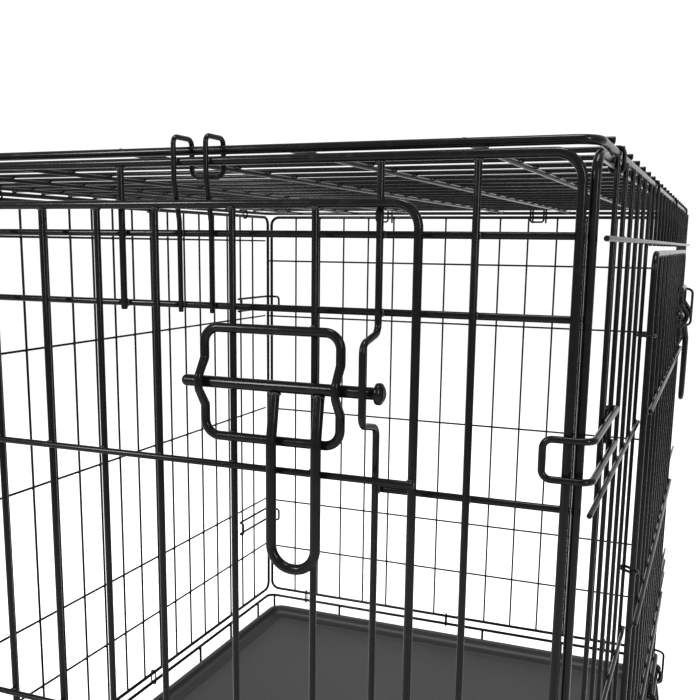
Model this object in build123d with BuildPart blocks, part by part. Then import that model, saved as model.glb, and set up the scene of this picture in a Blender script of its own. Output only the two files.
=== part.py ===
from build123d import *

import os

# A folding wire dog crate. Millimetres, +Z up, origin on the ground below the middle
# of the crate. The front end faces -Y and the side door is on +X.

# Overall sizes
end_frame_width = 695.0  # an end panel's corner posts, centre to centre
side_spacing = 705.8  # the two side panels' frame wires, centre to centre
end_spacing = 1061.0  # the two end panels' frame wires, centre to centre
panel_bottom = 52.6  # height of the frame wires that the upright panels hinge on
panel_top = 752.0  # height of the upright panels' top frame wires
roof_height = 758.5  # height of the roof's frame wire
rim_height = 37.9  # height of the floor's rim wire

# Wire diameters
frame_wire = 5.0
door_wire = 4.0
light_wire = 3.0
roof_wire = 3.5
floor_wire = 4.0
guide_wire = 5.4
handle_wire = 6.0
hook_wire = 3.8
clip_wire = 2.4

# Clearances
weld_gap = 0.02  # crossing wires that are welded lie on each other
running_gap = 0.1  # a wire that turns inside a loop
free_gap = 0.3  # pieces that slide or swing past each other

# Upright panels
frame_corner = 14.0  # bend radius of a panel's frame wire
side_frame_length = 1052.0  # a side panel's end posts, centre to centre
rail_heights = (675.4, 576.2, 404.9, 229.5, 139.8)
side_column_reach = 474.0  # outermost upright of a side panel, from its middle
side_column_count = 22
rear_column_reach = 298.4
rear_column_count = 14

# Door openings, the same in the front panel and in the right side panel
opening_half_width = 243.7
lintel_rails = (712.0, 670.7)
jamb_rails = (572.3, 404.9, 229.5)
side_lintel_rails = (711.0,)
side_jamb_rails = (571.0, 398.0, 229.5)  # clear of the opened door's rails
sill_rail = 139.8
front_outer_column = 295.6
front_lintel_columns = (80.8,)
front_sill_columns = (80.8, 162.0)
side_lintel_columns = (22.6, 67.7, 112.9, 158.0, 203.1)

# Doors
door_hinge_side = -249.8  # centre of the frame wire that the door turns on
door_free_side = 267.8
door_tops = {"front": 728.0, "side": 702.0}
door_bottom = 84.0
door_corner = 13.0
door_columns = (20.2, 60.5, 100.7, 150.9, 201.3)  # each way from the door's middle
door_rails = (581.0, 405.0, 248.0)
front_door_standoff = 8.0  # from the panel's frame wire to the door's frame wire
side_door_standoff = 11.5
hinge_loop_heights = (640.0, 450.0, 190.0)

# Slide-bolt latches
latch_heights = (629.0, 147.0)
guide_left = 144.1
guide_right = 227.8
guide_half_height = 31.0
guide_corner = 9.0
guide_kink_half = 3.5  # straight length of the kink that spans the bolt, halved
guide_kink_run = 10.0  # height over which a guide side bends out
bolt_diameter = 6.8
bolt_start = 130.0
bolt_end = 253.5
bolt_head_diameter = 12.0
bolt_head_length = 5.0
handle_left = 189.1
handle_right = 216.2
handle_drop = 105.5
keeper_half = 21.5  # straight height of the bulge that keeps the bolt, halved
keeper_run = 4.5
keeper_bend = 6.0
keeper_rise = 5.0  # the keeper's middle is a little above the bolt

# Hooks
top_hook_columns = (120.2, 141.2)
top_hook_foot = 666.5
top_hook_bend = 718.5
top_hook_shoulder = 741.5
top_hook_crest = 765.6
top_hook_tip = 744.5
rear_top_hook_foot = 748.0  # the rear hooks are short, with no legs down the rails
roof_setback = 8.0  # the roof's end wires behind the end panels' frame wires
hook_heights = (600.5, 198.5)
hook_upright = 1  # which of a side panel's uprights a hook turns on, counted from the end
hook_half_height = 10.5
hook_reach = 17.4  # from the side frame wire's centre to the hook's tip bar

# Roof
roof_corner = 12.0
roof_columns = (75.0, 180.0, 285.0)
roof_cross_pitch = 50.0
roof_cross_count = 20
roof_clip_places = (-440.0, -150.0, 150.0, 440.0)

# Floor and tray
floor_cross_pitch = 105.0
floor_cross_count = 10
floor_outer_column = 340.5
floor_inner_columns = (68.0, 205.0)
floor_bend = 7.0
floor_clip_places = (-390.0, -130.0, 130.0, 390.0)
end_clip_places = (-275.5, 0.0, 275.5)
tray_half_width = 338.0
tray_half_length = 522.0
tray_wall = 2.2
tray_height = 16.0
tray_corner = 24.0
tray_lip = 5.0

# Worked-out places
frame_radius = frame_wire / 2
end_face = end_spacing / 2
side_face = side_spacing / 2
roof_end = end_face - roof_setback
side_post = side_frame_length / 2

# Each upright face: local x runs along the panel, local y is up, local z is outward
front = Plane(origin=(0, -end_face, 0), x_dir=(1, 0, 0), z_dir=(0, -1, 0))
rear = Plane(origin=(0, end_face, 0), x_dir=(-1, 0, 0), z_dir=(0, 1, 0))
right = Plane(origin=(side_face, 0, 0), x_dir=(0, 1, 0), z_dir=(1, 0, 0))
left = Plane(origin=(-side_face, 0, 0), x_dir=(0, -1, 0), z_dir=(-1, 0, 0))

os.makedirs("parts", exist_ok=True)


def save(sub_part, name):
    sub_part.part.label = name
    export_step(sub_part.part, "parts/" + name + ".step")


def mirrored(values):
    """Each value and its opposite, from the lowest up."""
    return sorted({sign * value for value in values for sign in (-1, 1)})


def spread(reach, count):
    """Places spaced evenly from -reach to reach."""
    return [reach * (2 * i / (count - 1) - 1) for i in range(count)]


def rods(plane, places, diameter, length):
    """Straight wires that start on a plane and run along its normal."""
    with BuildSketch(plane) as section:
        with Locations(*places):
            Circle(diameter / 2)
    extrude(section.sketch, amount=length)


def uprights(face, columns, low, high, depth, diameter):
    """Vertical wires on a face, at a depth in front of its frame wire."""
    base = Plane(face.from_local_coords((0, low, depth)), face.x_dir, face.y_dir)
    rods(base, [(column, 0) for column in columns], diameter, high - low)


def rails(face, heights, start, end, depth, diameter):
    """Horizontal wires along a face."""
    base = Plane(face.from_local_coords((start, 0, depth)), face.y_dir, face.x_dir)
    rods(base, [(height, 0) for height in heights], diameter, end - start)


def swept(path, diameter):
    """A round wire that follows a path."""
    with BuildSketch(Plane(origin=path @ 0, z_dir=path % 0)) as section:
        Circle(diameter / 2)
    sweep(section.sketch, path=path)


def bent_wire(face, points, radii, diameter, closed=False):
    """A bent wire through points given along, up and out from a face."""
    corners = [face.from_local_coords(point) for point in points]
    with BuildLine() as run:
        FilletPolyline(*corners, radius=radii, close=closed)
    swept(run.wires()[0], diameter)


def frame_ring(plane, width, height, corner):
    """A closed frame wire with bent corners, centred on a plane's origin."""
    with BuildSketch(plane) as outline:
        RectangleRounded(width, height, corner)
    swept(outline.sketch.face().outer_wire(), frame_wire)


def wire_clip(first, second, along, held_diameter, clearance):
    """A small ring of wire around two parallel wires that run along a direction."""
    reach = second - first
    radius = held_diameter / 2 + clearance + clip_wire / 2
    plane = Plane(origin=(first + second) / 2, x_dir=reach, z_dir=along)
    with BuildSketch(plane) as outline:
        SlotCenterToCenter(reach.length, 2 * radius)
    swept(outline.sketch.face().outer_wire(), clip_wire)


panel_middle = (panel_bottom + panel_top) / 2
panel_height = panel_top - panel_bottom
inner_bottom = panel_bottom + frame_radius + weld_gap
inner_top = panel_top - frame_radius - weld_gap
outer_bottom = panel_bottom - frame_radius
outer_top = panel_top + frame_radius


def panel_frame(face, width):
    middle = Plane(face.from_local_coords((0, panel_middle, 0)), face.x_dir, face.z_dir)
    frame_ring(middle, width, panel_height, frame_corner)


def behind_frame(diameter):
    """Depth of a wire that lies against the back of a frame wire."""
    return -(frame_radius + diameter / 2 + weld_gap)


def outside_frame(diameter):
    return -behind_frame(diameter)


# ---------------------------------------------------------------- floor

with BuildPart() as floor_rim:
    frame_ring(Plane.XY.offset(rim_height), side_spacing, end_spacing, frame_corner)
save(floor_rim, "floor_rim")

riser_inset = frame_radius + floor_wire / 2 + weld_gap
riser_top = rim_height + frame_radius
cross_level = floor_wire / 2
long_level = cross_level + floor_wire + weld_gap
riser_side = side_face - riser_inset
riser_end = end_face - riser_inset

with BuildPart() as floor_cross_wires:
    for place in spread(floor_cross_pitch * (floor_cross_count - 1) / 2, floor_cross_count):
        station = front.offset(-end_face - place)
        bent_wire(
            station,
            [(-riser_side, riser_top, 0), (-riser_side, cross_level, 0),
             (riser_side, cross_level, 0), (riser_side, riser_top, 0)],
            floor_bend,
            floor_wire,
        )
save(floor_cross_wires, "floor_cross_wires")

with BuildPart() as floor_long_wires:
    for place in mirrored((floor_outer_column,)):
        bent_wire(
            right.offset(place - side_face),
            [(-riser_end, riser_top, 0), (-riser_end, long_level, 0),
             (riser_end, long_level, 0), (riser_end, riser_top, 0)],
            floor_bend,
            floor_wire,
        )
    for place in mirrored(floor_inner_columns):
        bent_wire(
            right.offset(place - side_face),
            [(-riser_end, long_level, 0), (riser_end, long_level, 0),
             (riser_end, riser_top, 0)],
            floor_bend,
            floor_wire,
        )
save(floor_long_wires, "floor_long_wires")

tray_base = long_level + floor_wire / 2 + free_gap

with BuildPart() as tray:
    with BuildSketch(Plane.XY.offset(tray_base)):
        RectangleRounded(2 * (tray_half_width - tray_lip), 2 * (tray_half_length - tray_lip),
                         tray_corner - tray_lip)
    extrude(amount=tray_height)
    with BuildSketch(Plane.XY.offset(tray_base + tray_height - tray_wall)):
        RectangleRounded(2 * tray_half_width, 2 * tray_half_length, tray_corner)
    extrude(amount=tray_wall)
    with BuildSketch(Plane.XY.offset(tray_base + tray_wall)):
        RectangleRounded(2 * (tray_half_width - tray_lip - tray_wall),
                         2 * (tray_half_length - tray_lip - tray_wall),
                         tray_corner - tray_lip - tray_wall)
    extrude(amount=tray_height, mode=Mode.SUBTRACT)
save(tray, "tray")

# ---------------------------------------------------------------- side panels

side_columns = spread(side_column_reach, side_column_count)
side_upright_depth = outside_frame(light_wire)
side_rail_depth = side_upright_depth + light_wire + weld_gap
side_rail_end = side_post + frame_radius - weld_gap

for side_name, face in (("left_side", left), ("right_side", right)):
    with BuildPart() as side_frame:
        panel_frame(face, side_frame_length)
    save(side_frame, side_name + "_frame")

with BuildPart() as left_side_uprights:
    uprights(left, side_columns, outer_bottom, outer_top, side_upright_depth, light_wire)
save(left_side_uprights, "left_side_uprights")

with BuildPart() as left_side_rails:
    rails(left, (*side_lintel_rails, *rail_heights[1:]), -side_rail_end, side_rail_end,
          side_rail_depth, light_wire)
save(left_side_rails, "left_side_rails")

clear_columns = [c for c in side_columns if abs(c) > opening_half_width + 2 * door_wire]

with BuildPart() as right_side_uprights:
    depth = side_upright_depth
    uprights(right, clear_columns, outer_bottom, outer_top, depth, light_wire)
    short_columns = mirrored(side_lintel_columns)
    uprights(right, short_columns, side_lintel_rails[-1] - light_wire, outer_top, depth, light_wire)
    uprights(right, short_columns, outer_bottom, sill_rail + light_wire, depth, light_wire)
save(right_side_uprights, "right_side_uprights")

with BuildPart() as right_side_rails:
    rails(right, (*side_lintel_rails, sill_rail), -side_rail_end, side_rail_end,
          side_rail_depth, light_wire)
    jamb_end = opening_half_width - door_wire / 2
    rails(right, side_jamb_rails, -side_rail_end, -jamb_end, side_rail_depth, light_wire)
    rails(right, side_jamb_rails, jamb_end, side_rail_end, side_rail_depth, light_wire)
save(right_side_rails, "right_side_rails")

# ---------------------------------------------------------------- end panels

rear_columns = spread(rear_column_reach, rear_column_count)

for end_name, face in (("front", front), ("rear", rear)):
    with BuildPart() as end_frame:
        panel_frame(face, end_frame_width)
    save(end_frame, end_name + "_frame")

end_rail_reach = end_frame_width / 2 + frame_radius - weld_gap

with BuildPart() as rear_uprights:
    depth = behind_frame(light_wire) + light_wire + weld_gap
    uprights(rear, rear_columns, inner_bottom, inner_top, depth, light_wire)
save(rear_uprights, "rear_uprights")

with BuildPart() as rear_rails:
    rails(rear, rail_heights, -end_rail_reach, end_rail_reach, behind_frame(light_wire), light_wire)
save(rear_rails, "rear_rails")

front_column_depth = behind_frame(door_wire) + door_wire + weld_gap

with BuildPart() as front_uprights:
    uprights(front, mirrored((front_outer_column,)), inner_bottom, inner_top,
             front_column_depth, door_wire)
    uprights(front, mirrored(front_lintel_columns), lintel_rails[-1] - door_wire, inner_top,
             front_column_depth, door_wire)
    uprights(front, mirrored(front_sill_columns), inner_bottom, sill_rail + door_wire,
             front_column_depth, door_wire)
save(front_uprights, "front_uprights")

with BuildPart() as front_rails:
    depth = behind_frame(door_wire)
    rails(front, (*lintel_rails, sill_rail), -end_rail_reach, end_rail_reach, depth, door_wire)
    rails(front, jamb_rails, -end_rail_reach, -jamb_end, depth, door_wire)
    rails(front, jamb_rails, jamb_end, end_rail_reach, depth, door_wire)
save(front_rails, "front_rails")

for end_name, face in (("front", front), ("rear", rear)):
    rail_wire = door_wire if end_name == "front" else light_wire
    on_rails = behind_frame(rail_wire) + rail_wire / 2 + light_wire / 2 + weld_gap
    with BuildPart() as top_hooks:
        for side in (-1, 1):
            first, second = [side * column for column in top_hook_columns]
            over = outside_frame(light_wire)
            inside = -2 * roof_setback
            if end_name == "front":
                down = [(first, top_hook_foot, on_rails), (first, top_hook_bend, on_rails),
                        (first, top_hook_shoulder, over)]
            else:
                down = [(first, rear_top_hook_foot, over)]
            down += [(first, top_hook_crest, over), (first, top_hook_crest, inside),
                     (first, top_hook_tip, inside)]
            back = [(second, height, out) for _, height, out in reversed(down)]
            bend = 4.0
            bent_wire(face, down + back, bend, light_wire)
    save(top_hooks, end_name + "_top_hooks")

# ---------------------------------------------------------------- doors

door_middle = (door_hinge_side + door_free_side) / 2
door_width = door_free_side - door_hinge_side
column_lift = frame_radius - door_wire / 2  # a door's uprights lie flush with its frame's face
bolt_lift = column_lift + door_wire / 2 + bolt_diameter / 2 + free_gap
guide_lift = column_lift + (door_wire + guide_wire) / 2 + weld_gap
kink_lift = bolt_lift + (bolt_diameter + guide_wire) / 2 + free_gap
keeper_lift = bolt_lift + (bolt_head_diameter + door_wire) / 2 + free_gap
handle_lift = guide_lift + (guide_wire + handle_wire) / 2 + 2 * free_gap

for door_name, face, standoff, post, post_wire, low, high in (
    ("front", front, front_door_standoff, front_column_depth, door_wire, inner_bottom, inner_top),
    ("side", right, side_door_standoff, side_upright_depth, light_wire, outer_bottom, outer_top),
):
    door_top = door_tops[door_name]

    with BuildPart() as hinge_post:
        uprights(face, (-opening_half_width,), low, high, post, post_wire)
    save(hinge_post, door_name + "_hinge_post")

    with BuildPart() as latch_post:
        keeper_out = standoff + keeper_lift
        line = [(opening_half_width, low, post)]
        for latch in reversed(latch_heights):
            middle = latch + keeper_rise
            line += [
                (opening_half_width, middle - keeper_half - keeper_run, post),
                (opening_half_width, middle - keeper_half, keeper_out),
                (opening_half_width, middle + keeper_half, keeper_out),
                (opening_half_width, middle + keeper_half + keeper_run, post),
            ]
        line.append((opening_half_width, high, post))
        bent_wire(face, line, keeper_bend, post_wire)
    save(latch_post, door_name + "_latch_post")

    door_plane = Plane(
        face.from_local_coords((door_middle, (door_top + door_bottom) / 2, standoff)),
        face.x_dir,
        face.z_dir,
    )
    with BuildPart() as door_frame:
        frame_ring(door_plane, door_width, door_top - door_bottom, door_corner)
    save(door_frame, door_name + "_door_frame")

    with BuildPart() as door_uprights:
        uprights(
            face,
            [door_middle + column for column in mirrored(door_columns)],
            door_bottom + frame_radius + weld_gap,
            door_top - frame_radius - weld_gap,
            standoff + column_lift,
            door_wire,
        )
    save(door_uprights, door_name + "_door_uprights")

    with BuildPart() as door_rail_wires:
        rails(face, door_rails, door_hinge_side, door_free_side + frame_radius,
              standoff + column_lift + door_wire + weld_gap, door_wire)
    save(door_rail_wires, door_name + "_door_rails")

    with BuildPart() as hinge_loops:
        for height in hinge_loop_heights:
            wire_clip(
                Vector(*face.from_local_coords((-opening_half_width, height, post))),
                Vector(*face.from_local_coords((door_hinge_side, height, standoff))),
                (0, 0, 1),
                frame_wire,
                running_gap,
            )
    save(hinge_loops, door_name + "_hinge_loops")

    for latch_name, latch in zip(("upper", "lower"), latch_heights):
        name = door_name + "_" + latch_name

        with BuildPart() as latch_guide:
            side_run = []
            for height, lift in (
                (guide_half_height, guide_lift),
                (guide_kink_half + guide_kink_run, guide_lift),
                (guide_kink_half, kink_lift),
                (-guide_kink_half, kink_lift),
                (-guide_kink_half - guide_kink_run, guide_lift),
                (-guide_half_height, guide_lift),
            ):
                side_run.append((latch + height, standoff + lift))
            loop = [(guide_right, height, out) for height, out in side_run]
            loop += [(guide_left, height, out) for height, out in reversed(side_run)]
            kink_bend = 3.2
            side_radii = [guide_corner] + [kink_bend] * 4 + [guide_corner]
            bent_wire(face, loop, side_radii * 2, guide_wire, closed=True)
        save(latch_guide, name + "_latch_guide")

        bolt_out = standoff + bolt_lift
        with BuildPart() as bolt:
            rails(face, (latch,), bolt_start, bolt_end - bolt_head_length, bolt_out, bolt_diameter)
            fillet(bolt.edges().sort_by(Axis(face.origin, face.x_dir))[0], 0.4 * bolt_diameter)
            rails(face, (latch,), bolt_end - bolt_head_length, bolt_end, bolt_out,
                  bolt_head_diameter)
            chamfer(bolt.edges().sort_by(Axis(face.origin, face.x_dir))[-1],
                    0.25 * bolt_head_diameter)
        save(bolt, name + "_bolt")

        with BuildPart() as latch_handle:
            drop = guide_half_height
            hang = standoff + handle_lift
            lean = Vector(0, -drop, hang - bolt_out).normalized()
            root = lean * (bolt_diameter / 2 + weld_gap)
            leg = [(latch + root.Y, bolt_out + root.Z), (latch - drop, hang),
                   (latch - handle_drop + handle_wire / 2, hang)]
            u_wire = [(handle_left, height, out) for height, out in leg]
            u_wire += [(handle_right, height, out) for height, out in reversed(leg)]
            end_bend = 0.48 * (handle_right - handle_left)
            bent_wire(face, u_wire, [20.0, end_bend, end_bend, 20.0], handle_wire)
        save(latch_handle, name + "_latch_handle")

# ---------------------------------------------------------------- corner hooks

hook_column = side_columns[-1 - hook_upright]
hook_column_depth = side_upright_depth
eye_radius = light_wire / 2 + free_gap + hook_wire / 2
hook_out = hook_column_depth + eye_radius
hook_in = hook_column_depth - eye_radius
hook_front = end_face + frame_radius + free_gap + hook_wire / 2

for corner_name, face, end in (
    ("front_left", left, 1),
    ("front_right", right, -1),
    ("rear_left", left, -1),
    ("rear_right", right, 1),
):
    for level_name, level in zip(("upper", "lower"), hook_heights):
        with BuildPart() as corner_hook:
            pivot = end * hook_column
            beyond = pivot - end * eye_radius
            half = [
                (beyond, hook_in),
                (beyond, hook_out),
                (end * hook_front, hook_out),
                (end * hook_front, -hook_reach),
            ]
            top = [(along, level + hook_half_height, out) for along, out in half]
            bottom = [(along, level - hook_half_height, out) for along, out in reversed(half)]
            eye_bend = 0.97 * eye_radius
            radii = [eye_bend, eye_bend, 6.0, 5.0]
            bent_wire(face, top + bottom, radii + radii[::-1], hook_wire, closed=True)
        save(corner_hook, corner_name + "_" + level_name + "_hook")

# ---------------------------------------------------------------- roof

with BuildPart() as roof_frame:
    frame_ring(Plane.XY.offset(roof_height), side_spacing, 2 * roof_end, roof_corner)
save(roof_frame, "roof_frame")

roof_long_level = roof_height + frame_radius - roof_wire / 2
roof_cross_level = roof_height + frame_radius + roof_wire / 2 + weld_gap

with BuildPart() as roof_long_wires:
    reach = roof_end - frame_radius - weld_gap
    base = Plane((0, -reach, roof_long_level), (1, 0, 0), (0, 1, 0))
    rods(base, [(column, 0) for column in mirrored(roof_columns)], roof_wire, 2 * reach)
save(roof_long_wires, "roof_long_wires")

with BuildPart() as roof_cross_wires:
    reach = side_face + frame_radius
    base = Plane((-reach, 0, roof_cross_level), (0, 1, 0), (1, 0, 0))
    places = spread(roof_cross_pitch * (roof_cross_count - 1) / 2, roof_cross_count)
    rods(base, [(place, 0) for place in places], roof_wire, 2 * reach)
save(roof_cross_wires, "roof_cross_wires")

# ---------------------------------------------------------------- hinge clips

for side_name, side in (("left", -1), ("right", 1)):
    for group, places, low, high in (
        ("roof", roof_clip_places, panel_top, roof_height),
        ("floor", floor_clip_places, rim_height, panel_bottom),
    ):
        with BuildPart() as side_clips:
            for place in places:
                wire_clip(Vector(side * side_face, place, low),
                          Vector(side * side_face, place, high),
                          (0, 1, 0), frame_wire, running_gap)
        save(side_clips, side_name + "_" + group + "_clips")

for end_name, end in (("front", -1), ("rear", 1)):
    with BuildPart() as end_clips:
        for place in end_clip_places:
            wire_clip(Vector(place, end * end_face, rim_height),
                      Vector(place, end * end_face, panel_bottom),
                      (1, 0, 0), frame_wire, running_gap)
    save(end_clips, end_name + "_floor_clips")
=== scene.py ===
import math
import random

import bpy
import numpy as np
from bpy.props import (
    FloatProperty,
    FloatVectorProperty,
    IntProperty,
    PointerProperty,
)
from mathutils import Matrix, Vector


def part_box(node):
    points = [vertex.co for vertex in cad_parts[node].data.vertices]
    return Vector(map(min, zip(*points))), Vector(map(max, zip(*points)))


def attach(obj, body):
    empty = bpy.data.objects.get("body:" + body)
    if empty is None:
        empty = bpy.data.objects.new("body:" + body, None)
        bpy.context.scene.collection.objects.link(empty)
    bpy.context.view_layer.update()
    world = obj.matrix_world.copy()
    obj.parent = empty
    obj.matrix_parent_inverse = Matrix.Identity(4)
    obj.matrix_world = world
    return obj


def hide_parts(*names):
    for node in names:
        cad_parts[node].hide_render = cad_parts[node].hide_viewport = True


bl_info = {
    "name": "Wire dog crate",
    "version": (1, 0, 0),
    "blender": (4, 5, 0),
    "location": "3D View > Sidebar > Crate",
    "description": "Builds the coated wire, welds, latches and tray of a folding dog crate",
    "category": "Object",
}

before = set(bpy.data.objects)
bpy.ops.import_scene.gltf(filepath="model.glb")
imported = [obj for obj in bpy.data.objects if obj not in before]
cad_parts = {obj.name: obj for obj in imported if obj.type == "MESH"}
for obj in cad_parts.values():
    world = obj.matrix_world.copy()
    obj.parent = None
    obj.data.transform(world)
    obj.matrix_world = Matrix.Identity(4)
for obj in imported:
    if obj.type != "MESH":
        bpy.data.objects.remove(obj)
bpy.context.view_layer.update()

LATCHES = [(door, level) for door in ("front", "side") for level in ("upper", "lower")]
CORNERS = ("front_left", "front_right", "rear_left", "rear_right")

# Faces round the wires that are seen closest, and round the small rings
BOLT_SIDES = 32
LATCH_SIDES = 28
HOOK_SIDES = 24
CLIP_SIDES = 14
NEARLY = 0.999  # a round end's bend stays this much short of its neighbour's


# ------------------------------------------------------------------ settings


def length(name, description, default, **more):
    return FloatProperty(
        name=name, description=description, default=default, unit="LENGTH", precision=5, **more
    )


class CRATE_PG_wire(bpy.types.PropertyGroup):
    """How the wires are bent, cut and welded."""

    sides: IntProperty(name="Sides", description="Faces round a wire", default=20, min=6)
    cut_round: FloatProperty(
        name="Cut edge", description="Rounding of a cut wire's end, by its radius",
        default=0.45, subtype="FACTOR",
    )
    arc_step: FloatProperty(
        name="Arc step", description="Largest turn between two rings of a bend",
        default=math.radians(7.5), subtype="ANGLE",
    )
    panel_bend: length("Panel bend", "Bend at an upright panel's corners", 0.014)
    door_bend: length("Door bend", "Bend at a door frame's corners", 0.013)
    roof_bend: length("Roof bend", "Bend at the roof frame's corners", 0.012)
    floor_bend: length("Floor bend", "Bend where a floor wire turns up", 0.007)
    keeper_half: length("Keeper half height", "Half the straight height of a keeper", 0.0215)
    keeper_run: length("Keeper run", "Height over which a keeper bends out", 0.0045)
    keeper_rise: length("Keeper rise", "Keeper's middle above its bolt", 0.005)
    keeper_bend: length("Keeper bend", "Bends of a keeper", 0.006)
    weld_size: FloatProperty(
        name="Weld size", description="Weld nugget's size, by the thinner wire's radius",
        default=1.38, subtype="FACTOR",
    )
    weld_reach: length("Weld reach", "Gap that still counts as welded", 0.00005)


class CRATE_PG_latch(bpy.types.PropertyGroup):
    """The slide-bolt latches."""

    guide_bend: length("Guide bend", "Corners of the guide", 0.009)
    guide_radius: length("Guide radius", "Radius of the guide's wire", 0.0027)
    handle_radius: length("Handle radius", "Radius of the handle's wire", 0.003)
    kink_half: length("Kink half", "Half the straight part of a kink", 0.0035)
    kink_run: length("Kink run", "Height over which a guide side bends out", 0.010)
    kink_bend: length("Kink bend", "Bends of a kink", 0.0032)
    handle_bend: length("Handle bend", "Bend below the handle's welds", 0.020)
    rod_diameter: length("Bolt diameter", "Bolt rod's diameter", 0.0068)
    head_length: length("Head length", "Bolt head's length", 0.005)


class CRATE_PG_hook(bpy.types.PropertyGroup):
    """The corner hooks and the top hooks."""

    hook_radius: length("Hook radius", "Radius of a corner hook's wire", 0.0019)
    eye_radius: length("Eye radius", "Corner hook's eye, to the wire's middle", 0.0037)
    corner_bend: length("Corner bend", "Bend round the crate's corner", 0.006)
    tip_bend: length("Tip bend", "Bends of the tip bar", 0.005)
    top_radius: length("Top hook radius", "Radius of a top hook's wire", 0.0015)
    top_bend: length("Top hook bend", "Bends of a top hook", 0.004)
    top_knee: length("Top hook knee", "Top hook's knee below its crest", 0.0471)
    top_shoulder: length("Top hook shoulder", "Top hook's shoulder below its crest", 0.0241)
    top_drop: length("Top hook drop", "Depth of a top hook's tip below its crest", 0.0211)


class CRATE_PG_tray(bpy.types.PropertyGroup):
    """The moulded tray."""

    wall: length("Wall", "Thickness of the moulding", 0.0022)
    lip: length("Lip", "Width of the rim beyond the wall", 0.005)
    corner: length("Corner", "Outer radius of the rim's corners", 0.024)
    cove: length("Cove", "Radius between floor and wall", 0.006)
    rib_height: length("Rib height", "Height of the shallow ribs of the floor", 0.0012)


class CRATE_PG_finish(bpy.types.PropertyGroup):
    """Colours and gloss."""

    wire_dark: FloatVectorProperty(
        name="Wire", description="Black coating", default=(0.0022, 0.0021, 0.0021),
        subtype="COLOR", size=3, min=0, max=1,
    )
    wire_worn: FloatVectorProperty(
        name="Wire haze", description="Coating where it is thin or dusty",
        default=(0.0040, 0.0038, 0.0037), subtype="COLOR", size=3, min=0, max=1,
    )
    tray_dark: FloatVectorProperty(
        name="Tray", description="Moulded plastic", default=(0.0130, 0.0122, 0.0122),
        subtype="COLOR", size=3, min=0, max=1,
    )
    tray_pale: FloatVectorProperty(
        name="Tray scuffs", description="Rubbed plastic", default=(0.0230, 0.0217, 0.0213),
        subtype="COLOR", size=3, min=0, max=1,
    )
    floor: FloatVectorProperty(
        name="Studio floor", description="Paper sweep", default=(0.97, 0.97, 0.97),
        subtype="COLOR", size=3, min=0, max=1,
    )


class CRATE_PG_studio(bpy.types.PropertyGroup):
    """Camera and lights."""

    eye: FloatVectorProperty(
        name="Camera", description="Camera position", default=(0.4145, -1.0019, 0.7069),
        subtype="TRANSLATION", unit="LENGTH", size=3,
    )
    turn: FloatVectorProperty(
        name="Camera turn", description="Camera rotation",
        default=[math.radians(a) for a in (79.497, -0.643, 22.417)],
        subtype="EULER", size=3,
    )
    lens: FloatProperty(name="Lens", description="Focal length", default=47.78, unit="CAMERA")
    shift: FloatVectorProperty(
        name="Shift", description="Lens shift", default=(0.0170, 0.0945), size=2
    )
    sky: FloatProperty(name="Sky", description="Strength of the white room", default=1.08)
    key: FloatProperty(name="Key", description="Power of the key softbox", default=120.0)
    side: FloatProperty(name="Side", description="Power of the side softbox", default=60.0)
    top: FloatProperty(name="Top", description="Power of the overhead softbox", default=60.0)


GROUPS = {
    "crate_wire": CRATE_PG_wire,
    "crate_latch": CRATE_PG_latch,
    "crate_hook": CRATE_PG_hook,
    "crate_tray": CRATE_PG_tray,
    "crate_finish": CRATE_PG_finish,
    "crate_studio": CRATE_PG_studio,
}


# ------------------------------------------------------------------ shader maths


class Socket:
    """A node's output that can be added and multiplied like a number."""

    def __init__(self, tree, link):
        self.tree = tree
        self.link = link

    def _maths(self, operation, first, second):
        sockets = {0: first, 1: second}
        return self.tree.node("ShaderNodeMath", {"operation": operation}, sockets)[0]

    def __add__(self, other):
        return self._maths("ADD", self, other)

    def __radd__(self, other):
        return self._maths("ADD", other, self)

    def __mul__(self, other):
        return self._maths("MULTIPLY", self, other)

    def __rmul__(self, other):
        return self._maths("MULTIPLY", other, self)


class Finish:
    """A material and its nodes."""

    def __init__(self, name):
        self.material = bpy.data.materials.new(name)
        self.material.use_nodes = True
        self.nodes = self.material.node_tree.nodes
        self.links = self.material.node_tree.links
        self.nodes.clear()

    def node(self, kind, settings=None, sockets=None):
        """A node of one type: its settings first, then its sockets' values or links."""
        made = self.nodes.new(kind)
        for key, value in (settings or {}).items():
            setattr(made, key, value)
        for key, value in (sockets or {}).items():
            if isinstance(value, Socket):
                self.links.new(value.link, made.inputs[key])
            else:
                made.inputs[key].default_value = value
        return [Socket(self, out) for out in made.outputs if out.enabled]

    def place(self):
        return self.node("ShaderNodeTexCoord")[3]

    def noise(self, scale, detail=3.0, roughness=0.5, stretch=None):
        vector = self.place()
        if stretch:
            vector = self.node(
                "ShaderNodeVectorMath", {"operation": "MULTIPLY"}, {0: vector, 1: stretch}
            )[0]
        return self.node(
            "ShaderNodeTexNoise",
            {},
            {"Vector": vector, "Scale": scale, "Detail": detail, "Roughness": roughness},
        )[0]

    def ramp(self, value, low, high):
        """0 where the value is low, 1 where it is high, with a soft step between."""
        return self.node(
            "ShaderNodeMapRange",
            {"interpolation_type": "SMOOTHSTEP"},
            {"Value": value, "From Min": low, "From Max": high},
        )[0]

    def mix(self, share, first, second):
        return self.node(
            "ShaderNodeMix",
            {"data_type": "RGBA"},
            {0: share, 6: (*first, 1.0), 7: (*second, 1.0)},
        )[0]

    def bump(self, height, strength, distance, under=None):
        sockets = {"Height": height, "Strength": strength, "Distance": distance}
        if under:
            sockets["Normal"] = under
        return self.node("ShaderNodeBump", {}, sockets)[0]

    def finish(self, **surface):
        shader = self.node(
            "ShaderNodeBsdfPrincipled",
            {},
            {key.replace("_", " "): value for key, value in surface.items()},
        )[0]
        self.node("ShaderNodeOutputMaterial", {}, {"Surface": shader})
        return self.material


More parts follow.
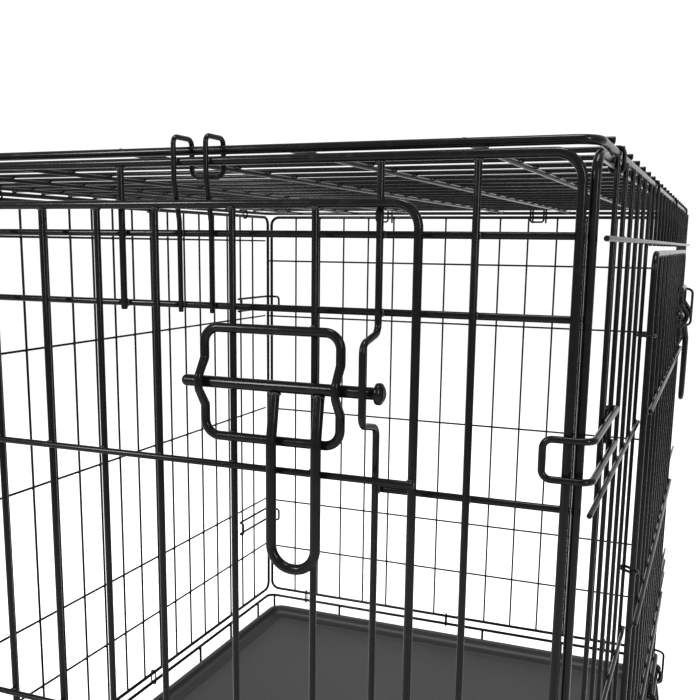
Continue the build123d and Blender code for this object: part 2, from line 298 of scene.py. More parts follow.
def black_coating(finish):
    """Glossy black coating on steel: slow waves in its thickness, orange peel and haze."""
    made = Finish("black_coating")
    waves = made.noise(55.0, 2.0)
    peel = made.noise(900.0, 2.0)
    haze = made.ramp(made.noise(130.0, 4.0, 0.6), 0.52, 0.78)
    height = made.bump(waves, 0.25, 0.0006)
    return made.finish(
        Base_Color=made.mix(haze, finish.wire_dark, finish.wire_worn),
        Roughness=0.16 + haze * 0.14 + waves * 0.05,
        Normal=made.bump(peel, 0.12, 0.00012, height),
        Specular_IOR_Level=0.05,
        Coat_Weight=0.03,
        Coat_Roughness=0.07,
    )


def weld_coating(finish):
    """The same coating over a rough weld."""
    made = Finish("weld_coating")
    lumps = made.noise(1500.0, 4.0, 0.65)
    burnt = made.ramp(made.noise(400.0), 0.45, 0.75)
    return made.finish(
        Base_Color=made.mix(burnt, finish.wire_dark, finish.wire_worn),
        Roughness=0.26 + burnt * 0.22,
        Normal=made.bump(lumps, 0.6, 0.0004),
        Specular_IOR_Level=0.12,
        Coat_Weight=0.1,
        Coat_Roughness=0.12,
    )


def moulded_plastic(finish):
    """Satin black plastic with a fine spark-eroded grain, flow marks and rubbed patches."""
    made = Finish("moulded_plastic")
    grain = made.noise(2600.0, 2.0, 0.6)
    flow = made.noise(9.0, 5.0, 0.55, (1.0, 0.35, 1.0))
    rubbed = made.ramp(made.noise(28.0, 6.0, 0.7, (1.0, 0.5, 1.0)), 0.55, 0.85)
    return made.finish(
        Base_Color=made.mix(rubbed * 0.6, finish.tray_dark, finish.tray_pale),
        Roughness=0.46 + flow * 0.12 + rubbed * 0.1,
        Normal=made.bump(grain, 0.35, 0.0002),
        Specular_IOR_Level=0.3,
    )


def studio_paper(finish):
    made = Finish("studio_paper")
    fibre = made.noise(60.0, 5.0)
    shade = tuple(0.985 * channel for channel in finish.floor)
    return made.finish(
        Base_Color=made.mix(fibre, shade, tuple(finish.floor)),
        Roughness=0.9,
    )


MAKERS = {
    "black_coating": black_coating,
    "weld_coating": weld_coating,
    "moulded_plastic": moulded_plastic,
    "studio_paper": studio_paper,
}


def finish_of(name):
    """A material by name, made the first time that it is wanted."""
    found = bpy.data.materials.get(name)
    return found or MAKERS[name](bpy.context.scene.crate_finish)


# ------------------------------------------------------------------ wire work


def rounded(corners, radii, closed=False):
    """The centre line of a bent wire: straight runs with an arc at each corner."""
    corners = [Vector(corner) for corner in corners]
    count = len(corners)
    if isinstance(radii, (int, float)):
        radii = [radii] * (count if closed else count - 2)
    step = bpy.context.scene.crate_wire.arc_step
    bent = range(count) if closed else range(1, count - 1)
    line = [] if closed else [corners[0]]
    for radius, index in zip(radii, bent):
        here = corners[index]
        back = (corners[index - 1] - here).normalized()
        ahead = (corners[(index + 1) % count] - here).normalized()
        turn = math.pi - back.angle(ahead)
        reach = radius * math.tan(turn / 2)
        centre = here + (back + ahead).normalized() * (radius / math.cos(turn / 2))
        start = here + back * reach
        axis = (start - centre).cross(here + ahead * reach - centre).normalized()
        parts = max(3, math.ceil(turn / step))
        for part in range(parts + 1):
            spin = Matrix.Rotation(turn * part / parts, 3, axis)
            line.append(centre + spin @ (start - centre))
    if not closed:
        line.append(corners[-1])
    return line


def framed(line, closed):
    """A direction across the wire at each point of its line, turning as little as it can."""
    count = len(line)
    along = []
    for index in range(count):
        before = line[index - 1] if closed or index else line[index]
        after = line[(index + 1) % count] if closed or index < count - 1 else line[index]
        along.append((after - before).normalized())
    across = along[0].orthogonal().normalized()
    frames = []
    for index, direction in enumerate(along):
        if index:
            across = along[index - 1].rotation_difference(direction) @ across
        across = (across - direction * across.dot(direction)).normalized()
        frames.append((across.copy(), direction.cross(across).normalized()))
    return along, frames


class WireWork:
    """Wires and welds gathered into one mesh, with their centre lines kept for welding."""

    def __init__(self):
        self.points = []
        self.faces = []
        self.runs = []

    def ring(self, centre, first, second, radius, sides):
        start = len(self.points)
        for side in range(sides):
            angle = 2 * math.pi * side / sides
            offset = first * math.cos(angle) + second * math.sin(angle)
            self.points.append(centre + offset * radius)
        return start

    def join(self, first, second, sides, shift=0):
        for side in range(sides):
            ahead = (side + 1) % sides
            self.faces.append(
                (first + side, first + ahead, second + (ahead + shift) % sides,
                 second + (side + shift) % sides)
            )

    def wire(self, line, radius, closed=False, sides=None, ends=None, squeeze=None):
        """A round wire along a line. squeeze thins a closed wire by place, 1 being full."""
        wire = bpy.context.scene.crate_wire
        sides = sides or wire.sides
        ends = wire.cut_round if ends is None else ends
        line = [Vector(point) for point in line]
        along, frames = framed(line, closed)
        self.runs.append((line + line[:1] if closed else line, radius))
        starts = []

        def lay(centre, index, size):
            first, second = frames[index]
            starts.append(self.ring(centre, first, second, size, sides))

        if closed:
            for index, point in enumerate(line):
                lay(point, index, radius * (squeeze(point) if squeeze else 1))
            for first, second in zip(starts, starts[1:]):
                self.join(first, second, sides)
            away = along[-1].rotation_difference(along[0]) @ frames[-1][0]
            turned = math.atan2(away.dot(frames[0][1]), away.dot(frames[0][0]))
            self.join(starts[-1], starts[0], sides, round(turned * sides / (2 * math.pi)))
            return
        soft = radius * ends
        steps = 4
        last = len(line) - 1
        for step in range(steps + 1):
            angle = math.pi / 2 * step / steps
            size = radius - soft + soft * math.sin(angle)
            lay(line[0] + along[0] * soft * (1 - math.cos(angle)), 0, size)
        for index in range(1, len(line) - 1):
            lay(line[index], index, radius)
        for step in range(steps, -1, -1):
            angle = math.pi / 2 * step / steps
            size = radius - soft + soft * math.sin(angle)
            lay(line[last] - along[last] * soft * (1 - math.cos(angle)), last, size)
        for first, second in zip(starts, starts[1:]):
            self.join(first, second, sides)
        self.faces.append(tuple(starts[0] + side for side in reversed(range(sides))))
        self.faces.append(tuple(starts[-1] + side for side in range(sides)))

    def nugget(self, centre, axes, sizes, seed):
        """A small uneven lump of weld."""
        rows, columns = 6, 10
        unevenness = 0.18
        draw = random.Random(seed)
        tilt = [draw.uniform(-unevenness, unevenness) for _ in range(3)]
        start = len(self.points)
        self.points.append(centre + axes[2] * sizes[2])
        for row in range(1, rows):
            lift = math.pi * row / rows
            for column in range(columns):
                around = 2 * math.pi * column / columns
                uneven = 1 + tilt[0] * math.cos(around + tilt[1]) + tilt[2] * math.cos(2 * around)
                self.points.append(
                    centre
                    + axes[0] * (sizes[0] * uneven * math.sin(lift) * math.cos(around))
                    + axes[1] * (sizes[1] * uneven * math.sin(lift) * math.sin(around))
                    + axes[2] * (sizes[2] * math.cos(lift))
                )
        self.points.append(centre - axes[2] * sizes[2])
        end = len(self.points) - 1
        for column in range(columns):
            ahead = (column + 1) % columns
            self.faces.append((start, start + 1 + column, start + 1 + ahead))
            for row in range(rows - 2):
                low = start + 1 + row * columns
                self.faces.append(
                    (low + column, low + columns + column, low + columns + ahead, low + ahead)
                )
            low = start + 1 + (rows - 2) * columns
            self.faces.append((low + column, end, low + ahead))

    def piece(self, name, body, nodes=(), slot="black_wire", material="black_coating"):
        """The mesh as a piece that rides on a body and stands for CAD nodes."""
        mesh = bpy.data.meshes.new(name)
        mesh.from_pydata([tuple(point) for point in self.points], [], self.faces)
        mesh.validate()
        mesh.shade_smooth()
        flat = [face.index for face in mesh.polygons if len(face.vertices) > 4]
        for index in flat:
            mesh.polygons[index].use_smooth = False
        mesh.materials.append(finish_of(material))
        made = bpy.data.objects.new(name, mesh)
        bpy.context.scene.collection.objects.link(made)
        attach(made, body)
        if nodes:
            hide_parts(*nodes)


def loose_boxes(node):
    """The box of each separate solid of a CAD node, in a fixed order."""
    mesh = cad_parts[node].data
    places = np.empty(len(mesh.vertices) * 3, np.float32)
    mesh.vertices.foreach_get("co", places)
    places = places.reshape(-1, 3)
    merge = 1e6
    _, same = np.unique(np.round(places * merge).astype(np.int64), axis=0, return_inverse=True)
    same = same.ravel()
    edges = np.empty(len(mesh.edges) * 2, np.int32)
    mesh.edges.foreach_get("vertices", edges)
    edges = same[edges.reshape(-1, 2)]
    group = np.arange(same.max() + 1)
    while True:
        lowest = np.minimum(group[edges[:, 0]], group[edges[:, 1]])
        before = group.copy()
        np.minimum.at(group, edges[:, 0], lowest)
        np.minimum.at(group, edges[:, 1], lowest)
        group = group[group]
        if (group == before).all():
            break
    owner = group[same]
    boxes = []
    for label in np.unique(owner):
        solid = places[owner == label].astype(float)
        boxes.append((Vector(solid.min(0)), Vector(solid.max(0))))
    return sorted(boxes, key=lambda box: tuple(round(v, 4) for v in (*box[0], *box[1])))


def rod_ends(low, high):
    """The two ends and the radius of a straight wire in a box."""
    size = high - low
    along = max(range(3), key=lambda axis: size[axis])
    radius = min(size) / 2
    first, second = low.copy(), high.copy()
    middle = (low + high) / 2
    for axis in range(3):
        if axis != along:
            first[axis] = second[axis] = middle[axis]
    return first, second, radius


def ring_line(low, high, bend):
    """The centre line and radius of a closed, rounded frame wire in a box."""
    size = high - low
    thin = min(range(3), key=lambda axis: size[axis])
    radius = size[thin] / 2
    one, two = [axis for axis in range(3) if axis != thin]
    middle = (low[thin] + high[thin]) / 2
    corners = []
    for first, second in ((0, 0), (1, 0), (1, 1), (0, 1)):
        corner = Vector((0, 0, 0))
        corner[thin] = middle
        corner[one] = high[one] - radius if first else low[one] + radius
        corner[two] = high[two] - radius if second else low[two] + radius
        corners.append(corner)
    return rounded(corners, bend, closed=True), radius


def stations(rows, across, out_axis):
    """Points from rows of place, height and depth, along, up and out from a panel."""
    line = []
    for place, height, depth in rows:
        point = [0.0, 0.0, height]
        point[across] = place
        point[out_axis] = depth
        line.append(point)
    return line


def make_rods(node, body):
    """Straight wires, one for each solid of a node."""
    work = WireWork()
    for low, high in loose_boxes(node):
        first, second, radius = rod_ends(low, high)
        work.wire([first, second], radius)
    work.piece(node + "_wires", body, [node])
    return work.runs


def make_ring(node, body, bend):
    """A panel's or a door's closed frame wire."""
    work = WireWork()
    line, radius = ring_line(*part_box(node), bend)
    work.wire(line, radius, closed=True)
    work.piece(node + "_wire", body, [node])
    return work.runs


def nearest(first, second):
    """Closest points of two straight stretches."""
    (a, b), (c, d) = first, second
    u, v, w = b - a, d - c, a - c
    uu, uv, vv, uw, vw = u.dot(u), u.dot(v), v.dot(v), u.dot(w), v.dot(w)
    flat = uu * vv - uv * uv
    s = 0.5 if flat < 1e-12 * uu * vv else max(0.0, min(1.0, (uv * vw - vv * uw) / flat))
    t = max(0.0, min(1.0, (uv * s + vw) / vv))
    s = max(0.0, min(1.0, (uv * t - uw) / uu))
    return a + u * s, c + v * t


def weld(runs, name, body):
    """A weld where two different wires of a panel touch."""
    wire = bpy.context.scene.crate_wire
    stretches = []
    for number, (line, radius) in enumerate(runs):
        for first, second in zip(line, line[1:]):
            if (second - first).length > 1e-6:
                stretches.append((number, first, second, radius))
    lows = np.array([[min(s[1][k], s[2][k]) - s[3] for k in range(3)] for s in stretches])
    highs = np.array([[max(s[1][k], s[2][k]) + s[3] for k in range(3)] for s in stretches])
    numbers = np.array([s[0] for s in stretches])
    work = WireWork()
    done = []
    reach = wire.weld_reach
    height = 0.62  # of a nugget, by the thinner wire's radius
    for index, (number, first, second, radius) in enumerate(stretches):
        close = ((lows[index] <= highs + reach) & (highs[index] >= lows - reach)).all(1)
        close &= (numbers > number)
        for other in np.nonzero(close)[0]:
            _, third, fourth, thick = stretches[other]
            here, there = nearest((first, second), (third, fourth))
            gap = (here - there).length - radius - thick
            if abs(gap) > reach and not (gap < 0 and (here - there).length > min(radius, thick)):
                continue
            across = (there - here).normalized()
            middle = here + across * radius
            if any((middle - seen).length < radius + thick for seen in done):
                continue
            done.append(middle)
            ways = [(second - first).normalized(), (fourth - third).normalized()]
            ways = [way - across * way.dot(across) for way in ways]
            along = max(ways, key=lambda way: way.length).normalized()
            thin = min(radius, thick) * wire.weld_size
            sizes = (thin, thin, height * min(radius, thick))
            work.nugget(middle, (along, across.cross(along), across), sizes, len(done))
    if work.points:
        work.piece(name, body, material="weld_coating")


# ------------------------------------------------------------------ pieces


class Piece:
    """What the operators share."""

    bl_options = {"REGISTER", "UNDO"}


class CRATE_OT_floor(Piece, bpy.types.Operator):
    """Bend the floor's wires and weld them"""

    bl_idname = "crate.floor"
    bl_label = "Floor wires"

    def execute(self, context):
        wire = context.scene.crate_wire
        runs = make_ring("floor_rim", "crate", wire.panel_bend)
        for node, along in (("floor_cross_wires", 0), ("floor_long_wires", 1)):
            work = WireWork()
            for low, high in loose_boxes(node):
                self.bend_up(work, low, high, along, wire.floor_bend)
            work.piece(node + "_bent", "crate", [node])
            runs += work.runs
        weld(runs, "floor_welds", "crate")
        return {"FINISHED"}

    def bend_up(self, work, low, high, along, bend):
        """A floor wire with one or both ends turned up."""
        size = high - low
        radius = min(size) / 2
        across = 1 - along
        middle = (low[across] + high[across]) / 2
        inner = high[along] - radius
        both = abs(low[along] + high[along]) < radius / 2
        start = low[along] + radius if both else low[along]
        corners = []
        if both:
            corners.append((start, high.z))
        corners += [(start, low.z + radius), (inner, low.z + radius), (inner, high.z)]
        rows = [(middle, height, run) for run, height in corners]
        work.wire(rounded(stations(rows, across, along), bend), radius)


class CRATE_OT_tray(Piece, bpy.types.Operator):
    """Mould the tray as one shell with a rolled rim and a shallow ribbed floor"""

    bl_idname = "crate.tray"
    bl_label = "Tray"

    def execute(self, context):
        tray = context.scene.crate_tray
        low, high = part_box("tray")
        half = Vector(((high.x - low.x) / 2, (high.y - low.y) / 2))
        wall, lip = tray.wall, tray.lip
        body = half - Vector((lip, lip))
        floor = low.z + wall
        top = high.z
        edge, soft, foot = 0.0004, 0.0016, 0.004
        rib_out, rib_in, rib_slope = 0.022, 0.030, 0.0015
        cove_steps = 4
        profile = [(-rib_in, low.z), (-foot, low.z), (-3 * edge, low.z + 2 * edge),
                   (0.0, low.z + 0.003), (0.0, top - wall - 0.001), (0.0006, top - wall),
                   (lip - soft, top - wall), (lip - edge, top - wall + edge),
                   (lip, top - wall / 2), (lip - edge, top - edge), (lip - soft, top),
                   (-wall + 0.0014, top), (-wall + 0.0003, top - 0.0005),
                   (-wall, top - 0.0018)]
        for step in range(cove_steps + 1):
            angle = math.pi / 2 * step / cove_steps
            profile.append((-wall - tray.cove * (1 - math.cos(angle)),
                            floor + tray.cove * (1 - math.sin(angle))))
        profile += [(-rib_out, floor), (-rib_out - rib_slope, floor + tray.rib_height),
                    (-rib_in + rib_slope, floor + tray.rib_height), (-rib_in, floor)]
        work = WireWork()
        corner, smallest = tray.corner - lip, 0.002
        turns = 12
        count = 4 * (turns + 1)
        for out, height in profile:
            radius = max(corner + out, smallest)
            for quarter, (sx, sy) in enumerate(((1, 1), (-1, 1), (-1, -1), (1, -1))):
                cx = sx * (body.x + out - radius)
                cy = sy * (body.y + out - radius)
                for turn in range(turns + 1):
                    angle = math.pi / 2 * (quarter + turn / turns)
                    work.points.append((cx + radius * math.cos(angle),
                                        cy + radius * math.sin(angle), height))
        for row in range(len(profile) - 1):
            for column in range(count):
                ahead = (column + 1) % count
                work.faces.append((row * count + column, row * count + ahead,
                                   (row + 1) * count + ahead, (row + 1) * count + column))
        work.faces.append(tuple(reversed(range(count))))
        last = (len(profile) - 1) * count
        work.faces.append(tuple(last + column for column in range(count)))
        work.piece("tray_moulding", "tray", ["tray"], "tray_plastic", "moulded_plastic")
        return {"FINISHED"}


def latch_post_run(node, bolts, out_axis):
    """A door's latch post, with a keeper bent out in front of each bolt."""
    wire = bpy.context.scene.crate_wire
    low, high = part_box(node)
    across = 1 - out_axis
    radius = (high[across] - low[across]) / 2
    middle = (low[across] + high[across]) / 2
    outward = -1 if out_axis == 1 else 1
    faces = (low[out_axis] + radius, high[out_axis] - radius)
    home, out = faces if outward > 0 else reversed(faces)
    rows = [(middle, low.z, home)]
    for bolt in bolts:
        bolt_low, bolt_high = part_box(bolt)
        keeper = (bolt_low.z + bolt_high.z) / 2 + wire.keeper_rise
        far = wire.keeper_half + wire.keeper_run
        rows += [(middle, keeper - far, home), (middle, keeper - wire.keeper_half, out),
                 (middle, keeper + wire.keeper_half, out), (middle, keeper + far, home)]
    rows.append((middle, high.z, home))
    work = WireWork()
    work.wire(rounded(stations(rows, across, out_axis), wire.keeper_bend), radius)
    return work


class CRATE_OT_side_panels(Piece, bpy.types.Operator):
    """Make the two side panels and the side door's posts"""

    bl_idname = "crate.side_panels"
    bl_label = "Side panels"

    def execute(self, context):
        wire = context.scene.crate_wire
        for side in ("left_side", "right_side"):
            runs = make_ring(side + "_frame", "crate", wire.panel_bend)
            runs += make_rods(side + "_uprights", "crate")
            runs += make_rods(side + "_rails", "crate")
            if side == "right_side":
                runs += make_rods("side_hinge_post", "crate")
                post = latch_post_run("side_latch_post", ("side_lower_bolt", "side_upper_bolt"), 0)
                post.piece("side_latch_post_wire", "crate", ["side_latch_post"])
                runs += post.runs
            weld(runs, side + "_welds", "crate")
        return {"FINISHED"}


class CRATE_OT_end_panels(Piece, bpy.types.Operator):
    """Make the front and rear panels with their top hooks"""

    bl_idname = "crate.end_panels"
    bl_label = "End panels"

    def execute(self, context):
        wire = context.scene.crate_wire
        for end in ("front", "rear"):
            body = end + "_panel"
            runs = make_ring(end + "_frame", body, wire.panel_bend)
            runs += make_rods(end + "_uprights", body)
            runs += make_rods(end + "_rails", body)
            if end == "front":
                runs += make_rods("front_hinge_post", body)
                post = latch_post_run("front_latch_post",
                                      ("front_lower_bolt", "front_upper_bolt"), 1)
                post.piece("front_latch_post_wire", body, ["front_latch_post"])
                runs += post.runs
            runs += self.top_hooks(context, end, body)
            weld(runs, end + "_welds", body)
        return {"FINISHED"}

    def top_hooks(self, context, end, body):
        hook = context.scene.crate_hook
        node = end + "_top_hooks"
        outward = -1 if end == "front" else 1
        rail_low, rail_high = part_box(end + "_rails")
        work = WireWork()
        for low, high in loose_boxes(node):
            radius = hook.top_radius
            near = low.y + radius if outward > 0 else high.y - radius
            over = high.y - radius if outward > 0 else low.y + radius
            face = rail_high.y if outward > 0 else rail_low.y
            foot = face + outward * radius
            crest = high.z - radius
            knees = [(low.z, over)]
            if end == "front":
                knees = [(low.z, foot), (crest - hook.top_knee, foot),
                         (crest - hook.top_shoulder, over)]
            knees += [(crest, over), (crest, near), (crest - hook.top_drop, near)]
            sides = (low.x + radius, high.x - radius)
            line = [(sides[0], depth, height) for height, depth in knees]
            line += [(sides[1], depth, height) for height, depth in reversed(knees)]
            work.wire(rounded(line, hook.top_bend), radius)
        work.piece(node + "_bent", body, [node])
        return work.runs


class CRATE_OT_doors(Piece, bpy.types.Operator):
    """Make the front and side doors with their latch guides, and weld them"""

    bl_idname = "crate.doors"
    bl_label = "Doors"

    def execute(self, context):
        wire = context.scene.crate_wire
        for door, out_axis in (("front", 1), ("side", 0)):
            body = door + "_door"
            runs = make_ring(body + "_frame", body, wire.door_bend)
            runs += make_rods(body + "_uprights", body)
            runs += make_rods(body + "_rails", body)
            for level in ("upper", "lower"):
                runs += self.guide(context, f"{door}_{level}_latch_guide", body, out_axis)
            weld(runs, body + "_welds", body)
        return {"FINISHED"}

    def guide(self, context, node, body, out_axis):
        latch = context.scene.crate_latch
        low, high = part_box(node)
        across = 1 - out_axis
        outward = -1 if out_axis == 1 else 1
        radius = latch.guide_radius
        home, out = low[out_axis] + radius, high[out_axis] - radius
        if outward < 0:
            home, out = out, home
        middle = (low.z + high.z) / 2
        half = (high.z - low.z) / 2 - radius
        far = latch.kink_half + latch.kink_run
        side = [(half, home), (far, home), (latch.kink_half, out),
                (-latch.kink_half, out), (-far, home), (-half, home)]
        rows = [(high[across] - radius, middle + height, depth) for height, depth in side]
        rows += [(low[across] + radius, middle + height, depth) for height, depth in side[::-1]]
        line = stations(rows, across, out_axis)
        bends = [latch.guide_bend] + [latch.kink_bend] * 4 + [latch.guide_bend]
        work = WireWork()
        pressed = 0.10

        def pinch(point):
            """The guide's wire is pressed a little thinner where it spans the bolt."""
            away = abs(point.z - middle) / far
            return 1.0 - pressed * max(0.0, 1.0 - away * away)

        work.wire(rounded(line, bends * 2, closed=True), radius, closed=True, sides=LATCH_SIDES,
                  squeeze=pinch)
        work.piece(node + "_wire", body, [node])
        return work.runs


class CRATE_OT_latches(Piece, bpy.types.Operator):
    """Make the bolts and their handles"""

    bl_idname = "crate.latches"
    bl_label = "Bolts and handles"

    def execute(self, context):
        for door, level in LATCHES:
            self.bolt(context, f"{door}_{level}", 1 if door == "front" else 0)
            self.handle(context, f"{door}_{level}", 1 if door == "front" else 0)
        return {"FINISHED"}

    def bolt(self, context, name, out_axis):
        """A turned rod with a domed tail and an upset, bevelled head."""
        latch = context.scene.crate_latch
        low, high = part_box(name + "_bolt")
        across = 1 - out_axis
        middle = (low + high) / 2
        head = (high[out_axis] - low[out_axis]) / 2
        rod = latch.rod_diameter / 2
        neck = high[across] - latch.head_length
        tip = high[across]
        dome, dome_steps = 0.8, 6  # the dome's share of the rod's radius
        blend, edge, bevel = 0.0012, 0.0004, 0.0026
        shoulder, brow, flat = 0.96, 0.62, 0.45  # shares of the head's radius
        profile = []
        for step in range(dome_steps + 1):
            angle = math.pi / 2 * step / dome_steps
            profile.append((low[across] + dome * rod * (1 - math.cos(angle)),
                            rod * (1 - dome + dome * math.sin(angle))))
        profile += [(neck - blend, rod), (neck - edge, rod + edge / 4),
                    (neck + edge, head * shoulder), (neck + blend, head),
                    (tip - bevel, head), (tip - bevel + 2 * edge, head * shoulder),
                    (tip - edge, head * brow), (tip, head * flat)]
        work = WireWork()
        first, second = Vector((0, 0, 0)), Vector((0, 0, 1))
        first[out_axis] = 1
        rings = []
        for place, radius in profile:
            centre = middle.copy()
            centre[across] = place
            rings.append(work.ring(centre, first, second, radius, BOLT_SIDES))
        for one, two in zip(rings, rings[1:]):
            work.join(one, two, BOLT_SIDES)
        work.faces.append(tuple(rings[0] + side for side in reversed(range(BOLT_SIDES))))
        work.faces.append(tuple(rings[-1] + side for side in range(BOLT_SIDES)))
        work.piece(name + "_bolt_rod", name + "_bolt", [name + "_bolt"])

    def handle(self, context, name, out_axis):
        """A long U of wire whose two ends are welded to the bolt."""
        latch = context.scene.crate_latch
        node = name + "_latch_handle"
        low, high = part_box(node)
        bolt_low, bolt_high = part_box(name + "_bolt")
        guide_low, guide_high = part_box(name + "_latch_guide")
        across = 1 - out_axis
        outward = -1 if out_axis == 1 else 1
        radius = latch.handle_radius
        bolt_middle = (bolt_low + bolt_high) / 2
        drop = (guide_high.z - guide_low.z) / 2 - latch.guide_radius
        hang = high[out_axis] - radius if outward > 0 else low[out_axis] + radius
        lean = Vector((outward * (hang - bolt_middle[out_axis]), -drop)).normalized()
        reach = latch.rod_diameter / 2
        leg = [(bolt_middle.z + lean.y * reach,
                bolt_middle[out_axis] + outward * lean.x * reach),
               (bolt_middle.z - drop, hang), (low.z + radius, hang)]
        sides = (low[across] + radius, high[across] - radius)
        rows = [(sides[0], *step) for step in leg] + [(sides[1], *step) for step in leg[::-1]]
        line = stations(rows, across, out_axis)
        half_round = 0.48  # the end's bend, by the legs' spacing
        end = half_round * (sides[1] - sides[0])
        work = WireWork()
        work.wire(rounded(line, [latch.handle_bend, end, end, latch.handle_bend]), radius,
                  sides=LATCH_SIDES, ends=0.2)
        body = name + "_handle"
        work.piece(node + "_wire", body, [node])
        beads = WireWork()
        bead_sizes, bead_drop, bead_out = (0.0037, 0.0035, 0.0016), 0.0006, 0.0002
        for number, place in enumerate(sides):
            root = Vector((0, 0, leg[0][0] - bead_drop))
            root[across] = place
            root[out_axis] = leg[0][1] + outward * bead_out
            down = (Vector(line[1]) - Vector(line[0])).normalized()
            sideways = Vector((0, 0, 0))
            sideways[across] = 1
            beads.nugget(root, (sideways, down.cross(sideways), down), bead_sizes, number)
        beads.piece(node + "_welds", body, material="weld_coating")


class CRATE_OT_hooks(Piece, bpy.types.Operator):
    """Bend the corner hooks"""

    bl_idname = "crate.hooks"
    bl_label = "Corner hooks"

    def execute(self, context):
        hook = context.scene.crate_hook
        for corner in CORNERS:
            for level in ("upper", "lower"):
                self.bend(hook, f"{corner}_{level}_hook")
        return {"FINISHED"}

    def bend(self, hook, node):
        low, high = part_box(node)
        radius = hook.hook_radius
        end = 1 if high.y > 0 else -1
        outward = 1 if high.x > 0 else -1
        tip_y = high.y - radius if end > 0 else low.y + radius
        eye_y = low.y + radius if end > 0 else high.y - radius
        out = high.x - radius if outward > 0 else low.x + radius
        tip_x = low.x + radius if outward > 0 else high.x - radius
        inner = out - outward * 2 * hook.eye_radius
        half = [(inner, eye_y), (out, eye_y), (out, tip_y), (tip_x, tip_y)]
        heights = (high.z - radius, low.z + radius)
        line = [(x, y, heights[0]) for x, y in half]
        line += [(x, y, heights[1]) for x, y in reversed(half)]
        eye_share = 0.97  # the eye is a little squarer than a full round
        eye = eye_share * hook.eye_radius
        bends = [eye, eye, hook.corner_bend, hook.tip_bend]
        work = WireWork()
        work.wire(rounded(line, bends + bends[::-1], closed=True), radius, closed=True,
                  sides=HOOK_SIDES)
        work.piece(node + "_wire", node, [node])


class CRATE_OT_roof(Piece, bpy.types.Operator):
    """Make the roof panel"""

    bl_idname = "crate.roof"
    bl_label = "Roof"

    def execute(self, context):
        runs = make_ring("roof_frame", "crate", context.scene.crate_wire.roof_bend)
        runs += make_rods("roof_long_wires", "crate")
        runs += make_rods("roof_cross_wires", "crate")
        weld(runs, "roof_welds", "crate")
        return {"FINISHED"}


class CRATE_OT_clips(Piece, bpy.types.Operator):
    """Make the rings that hinge the panels and the doors"""

    bl_idname = "crate.clips"
    bl_label = "Hinge clips"

    def execute(self, context):
        for node in ("left_roof_clips", "right_roof_clips", "left_floor_clips",
                     "right_floor_clips", "front_floor_clips", "rear_floor_clips"):
            self.clips(node, "crate")
        self.loops("front_hinge_loops", "front_panel", "front_hinge_post", "front_door_frame")
        self.loops("side_hinge_loops", "crate", "side_hinge_post", "side_door_frame")
        return {"FINISHED"}

    def clips(self, node, body):
        work = WireWork()
        for low, high in loose_boxes(node):
            size = high - low
            thin = min(range(3), key=lambda axis: size[axis])
            wide = min((axis for axis in range(3) if axis != thin), key=lambda axis: size[axis])
            line, radius = ring_line(low, high, (size[wide] / 2 - size[thin] / 2) * NEARLY)
            work.wire(line, radius, closed=True, sides=CLIP_SIDES)
        work.piece(node + "_rings", body, [node])

    def loops(self, node, body, post, door):
        """Rings that hold a door's frame wire to its hinge post."""
        work = WireWork()
        post_low, post_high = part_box(post)
        door_low, door_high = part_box(door)
        for low, high in loose_boxes(node):
            radius = (high.z - low.z) / 2
            height = (low.z + high.z) / 2
            first = (post_low + post_high) / 2
            second = first.copy()
            thin = min(range(2), key=lambda axis: door_high[axis] - door_low[axis])
            other = 1 - thin
            second[thin] = (door_low[thin] + door_high[thin]) / 2
            second[other] = door_low[other] + (door_high[thin] - door_low[thin]) / 2
            first.z = second.z = height
            reach = (second - first).normalized()
            across = Vector((-reach.y, reach.x, 0))
            bend = (min(high.x - low.x, high.y - low.y) - abs(
                min((second - first).x, (second - first).y, key=abs))) / 2 - radius
            corners = [first - reach * bend - across * bend, second + reach * bend - across * bend,
                       second + reach * bend + across * bend, first - reach * bend + across * bend]
            work.wire(rounded(corners, bend * NEARLY, closed=True), radius, closed=True,
                      sides=CLIP_SIDES)
        work.piece(node + "_rings", body, [node])


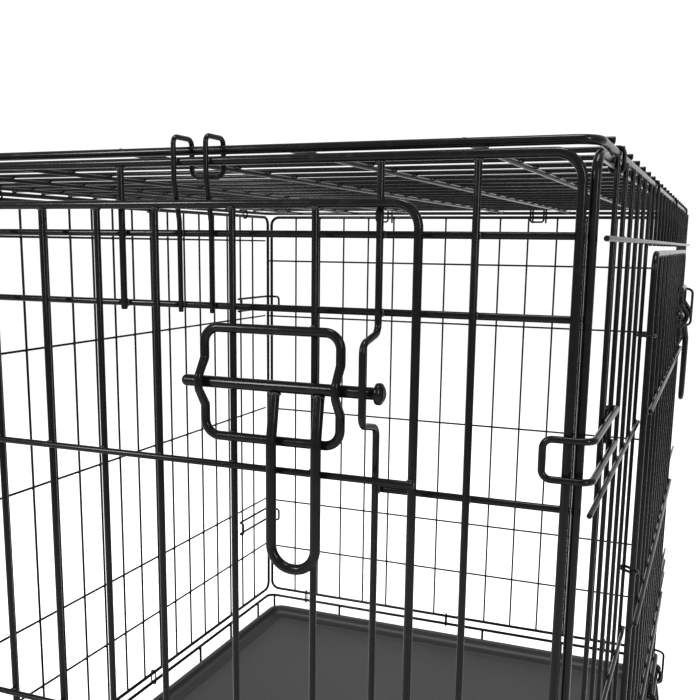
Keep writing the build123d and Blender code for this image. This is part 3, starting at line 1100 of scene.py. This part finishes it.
class CRATE_OT_studio(Piece, bpy.types.Operator):
    """Set up the paper floor, the lights and the camera"""

    bl_idname = "crate.studio"
    bl_label = "Studio"

    def execute(self, context):
        studio = context.scene.crate_studio
        reach = 30.0
        mesh = bpy.data.meshes.new("studio_floor")
        mesh.from_pydata([(-reach, -reach, 0), (reach, -reach, 0), (reach, reach, 0),
                          (-reach, reach, 0)], [], [(0, 1, 2, 3)])
        mesh.materials.append(finish_of("studio_paper"))
        floor = bpy.data.objects.new("studio_floor", mesh)
        context.scene.collection.objects.link(floor)
        self.lamp("key_softbox", (-1.5, -2.6, 2.0), (0.0, -0.5, 0.55), (0.35, 1.1), studio.key)
        self.lamp("side_softbox", (2.1, -1.7, 1.5), (0.2, -0.2, 0.5), (0.22, 1.3), studio.side)
        self.lamp("top_softbox", (0.3, -0.5, 2.6), (0.1, -0.3, 0.4), (0.9, 0.5), studio.top)
        world = bpy.data.worlds.new("white_room")
        world.use_nodes = True
        background = world.node_tree.nodes["Background"]
        background.inputs["Color"].default_value = (1.0, 1.0, 1.0, 1.0)
        background.inputs["Strength"].default_value = studio.sky
        context.scene.world = world
        context.scene.view_settings.view_transform = "Standard"
        data = bpy.data.cameras.new("camera")
        data.sensor_width = 36.0
        data.lens = studio.lens
        data.shift_x, data.shift_y = studio.shift
        data.clip_start = 0.02
        camera = bpy.data.objects.new("camera", data)
        camera.location = studio.eye
        camera.rotation_euler = studio.turn
        context.scene.collection.objects.link(camera)
        context.scene.camera = camera
        return {"FINISHED"}

    def lamp(self, name, place, target, size, power):
        data = bpy.data.lights.new(name, "AREA")
        data.shape = "RECTANGLE"
        data.size, data.size_y = size
        data.energy = power
        lamp = bpy.data.objects.new(name, data)
        lamp.location = place
        lamp.rotation_euler = (Vector(target) - Vector(place)).to_track_quat("-Z", "Y").to_euler()
        bpy.context.scene.collection.objects.link(lamp)


OPERATORS = (
    CRATE_OT_floor,
    CRATE_OT_tray,
    CRATE_OT_side_panels,
    CRATE_OT_end_panels,
    CRATE_OT_doors,
    CRATE_OT_latches,
    CRATE_OT_hooks,
    CRATE_OT_roof,
    CRATE_OT_clips,
    CRATE_OT_studio,
)


class CRATE_PT_panel(bpy.types.Panel):
    """The crate's sizes and its pieces"""

    bl_label = "Wire dog crate"
    bl_idname = "CRATE_PT_panel"
    bl_space_type = "VIEW_3D"
    bl_region_type = "UI"
    bl_category = "Crate"

    def draw(self, context):
        for name, group in GROUPS.items():
            box = self.layout.box()
            box.label(text=group.__doc__)
            for key in group.__annotations__:
                box.prop(getattr(context.scene, name), key)
        for operator in OPERATORS:
            self.layout.operator(operator.bl_idname)


def register():
    for group in GROUPS.values():
        bpy.utils.register_class(group)
    for name, group in GROUPS.items():
        setattr(bpy.types.Scene, name, PointerProperty(type=group))
    for operator in OPERATORS:
        bpy.utils.register_class(operator)
    bpy.utils.register_class(CRATE_PT_panel)


def unregister():
    bpy.utils.unregister_class(CRATE_PT_panel)
    for operator in reversed(OPERATORS):
        bpy.utils.unregister_class(operator)
    for name in GROUPS:
        delattr(bpy.types.Scene, name)
    for group in reversed(GROUPS.values()):
        bpy.utils.unregister_class(group)


def main():
    register()
    for operator in OPERATORS:
        section, name = operator.bl_idname.split(".")
        getattr(getattr(bpy.ops, section), name)()


if __name__ == "__main__":
    main()
